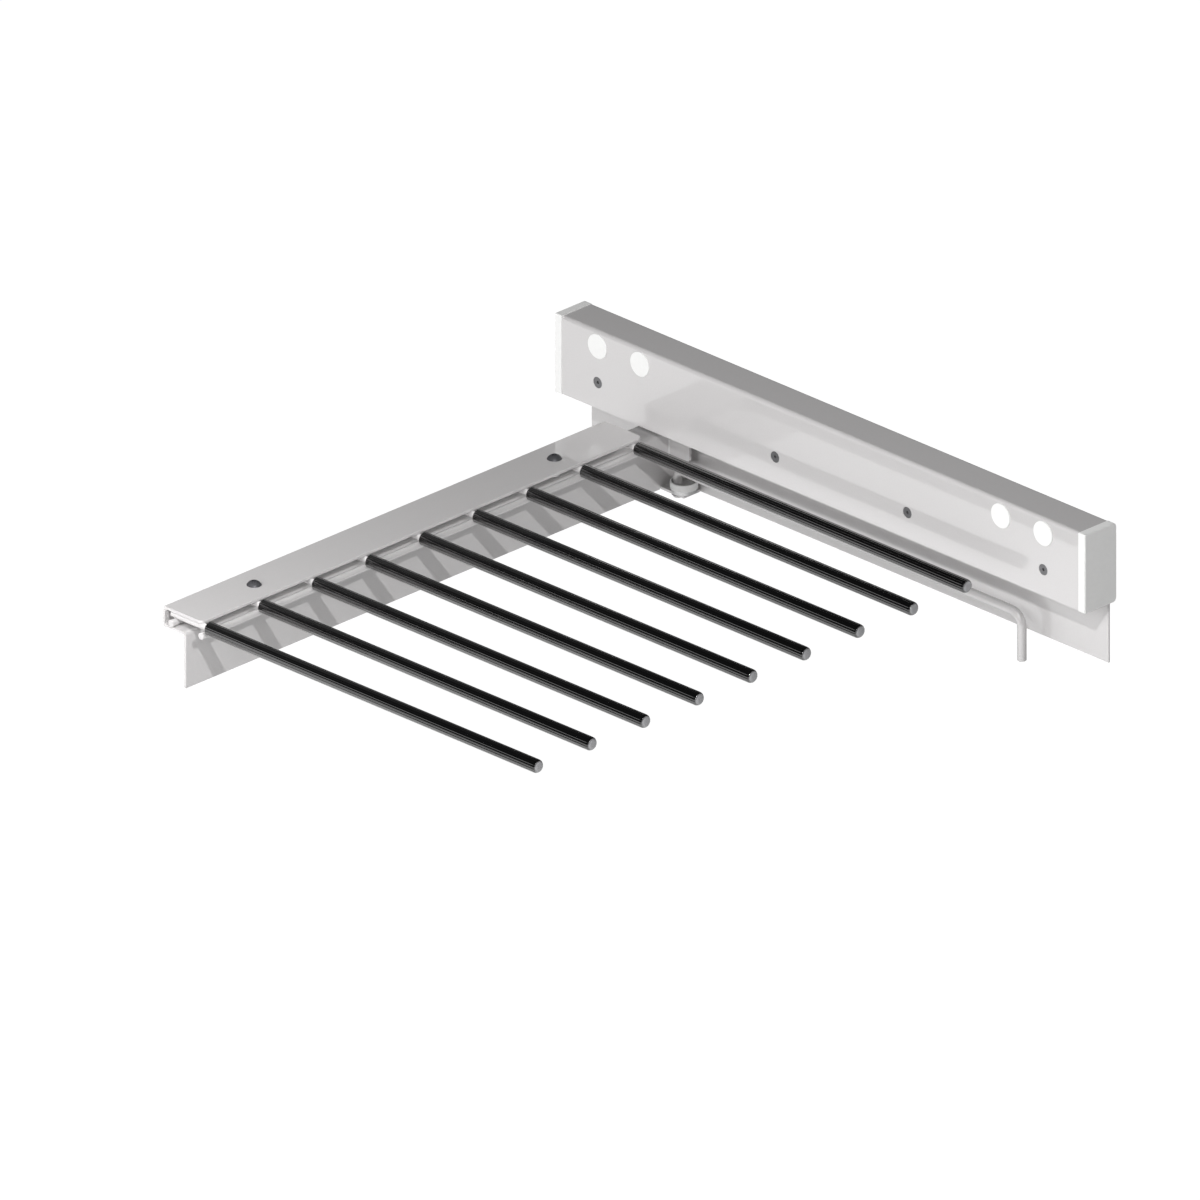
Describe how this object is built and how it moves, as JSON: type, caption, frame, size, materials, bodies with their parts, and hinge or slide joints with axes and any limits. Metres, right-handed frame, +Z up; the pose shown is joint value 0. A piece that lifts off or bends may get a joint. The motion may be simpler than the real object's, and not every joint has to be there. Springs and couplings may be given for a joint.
{
  "type": "pull-out trouser rack",
  "caption": "Side-mounted pull-out trouser rack: silver housing with roller carriage, crossbar, black fluted rods, wire handle and support roller.",
  "frame": {"origin": "on the housing's mounting face, halfway along the housing, at the height of the fixing holes", "axes": "+X into the cabinet's side panel, +Y to the wardrobe's back, +Z up; the rack pulls out along -Y"},
  "size_m": [0.478, 0.513, 0.1251],
  "materials": {
    "silver_paint": "satin silver-grey lacquer on steel",
    "white_plastic": "moulded white nylon, satin",
    "black_sleeve": "extruded black plastic, satin",
    "zinc_steel": "zinc-plated steel",
    "dark_screw": "dark grey coated steel, satin",
    "natural_nylon": "natural nylon, satin",
    "black_rubber": "black rubber, matt"
  },
  "bodies": {
    "housing": {"housing_profile": "silver_paint", "end_cap_front": "white_plastic", "end_cap_rear": "white_plastic", "hole_plug_1": "white_plastic", "hole_plug_2": "white_plastic", "hole_plug_3": "white_plastic", "hole_plug_4": "white_plastic", "track_rail": "zinc_steel", "rail_screws": "dark_screw", "rail_clinch_nuts": "zinc_steel", "rail_stop_front": "black_rubber", "rail_stop_rear": "black_rubber"},
    "rack": {"carriage_plate": "zinc_steel", "wheel_axles": "zinc_steel", "bracket_screws": "dark_screw", "crossbar": "silver_paint", "crossbar_cover": "silver_paint", "cover_pillars": "zinc_steel", "cover_screws": "dark_screw", "cross_wire_rear": "silver_paint", "cross_wire_front": "silver_paint", "rod_wire_1": "silver_paint", "rod_wire_2": "silver_paint", "rod_wire_3": "silver_paint", "rod_wire_4": "silver_paint", "rod_wire_5": "silver_paint", "rod_wire_6": "silver_paint", "rod_wire_7": "silver_paint", "rod_wire_8": "silver_paint", "rod_wire_9": "silver_paint", "rod_sleeve_1": "black_sleeve", "rod_sleeve_2": "black_sleeve", "rod_sleeve_3": "black_sleeve", "rod_sleeve_4": "black_sleeve", "rod_sleeve_5": "black_sleeve", "rod_sleeve_6": "black_sleeve", "rod_sleeve_7": "black_sleeve", "rod_sleeve_8": "black_sleeve", "rod_sleeve_9": "black_sleeve", "pull_handle": "silver_paint", "roller_hub": "zinc_steel", "hub_clip": "zinc_steel"},
    "rear_wheel": {"track_wheel_rear": "natural_nylon"},
    "middle_wheel": {"track_wheel_middle": "natural_nylon"},
    "front_wheel": {"track_wheel_front": "natural_nylon"},
    "tilt_roller": {"support_roller": "white_plastic"}
  },
  "joints": [
    {"name": "rack_slide", "type": "slide", "parent": "housing", "child": "rack", "axis": [0, -1, 0], "range_m": [0, 0.39]},
    {"name": "rear_wheel_turn", "type": "hinge", "parent": "rack", "child": "rear_wheel", "pos_m": [-0.0201, 0.226, -0.0309], "axis": [1, 0, 0], "continuous": true},
    {"name": "middle_wheel_turn", "type": "hinge", "parent": "rack", "child": "middle_wheel", "pos_m": [-0.0201, 0.195, -0.0237], "axis": [1, 0, 0], "continuous": true},
    {"name": "front_wheel_turn", "type": "hinge", "parent": "rack", "child": "front_wheel", "pos_m": [-0.0201, 0.164, -0.0309], "axis": [1, 0, 0], "continuous": true},
    {"name": "tilt_roller_turn", "type": "hinge", "parent": "rack", "child": "tilt_roller", "pos_m": [-0.0112, 0.1507, -0.0885], "axis": [0, 0, 1], "continuous": true}
  ],
  "couplings": [
    {"joint": "rear_wheel_turn", "follows": "rack_slide", "rad_per_m": 83.333},
    {"joint": "middle_wheel_turn", "follows": "rack_slide", "rad_per_m": -83.333},
    {"joint": "front_wheel_turn", "follows": "rack_slide", "rad_per_m": 83.333},
    {"joint": "tilt_roller_turn", "follows": "rack_slide", "rad_per_m": 103.09}
  ]
}
